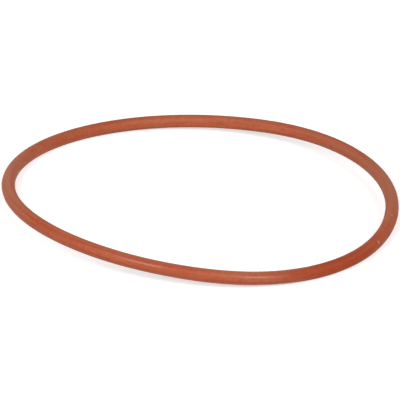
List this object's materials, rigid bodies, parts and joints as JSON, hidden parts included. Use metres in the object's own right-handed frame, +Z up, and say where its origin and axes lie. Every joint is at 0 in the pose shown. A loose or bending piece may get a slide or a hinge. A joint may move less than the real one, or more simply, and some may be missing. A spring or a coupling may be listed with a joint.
{
  "type": "o-ring",
  "caption": "Soft moulded silicone sealing ring of round section, lying loose on a flat surface with two opposite spans resting and the two between them bowed slightly up.",
  "frame": {"origin": "middle of the ring's footprint, on the flat surface it lies on", "axes": "+Z up from that surface, through the hole; +Y towards the middle of the long resting span, -Y towards the middle of the short one, and +X and -X towards the two raised spans"},
  "size_m": [0.1062, 0.1038, 0.0067],
  "materials": {
    "silicone": "satin-matt moulded silicone rubber, opaque terracotta red"
  },
  "bodies": {
    "root": {"o_ring": "silicone"}
  },
  "joints": []
}
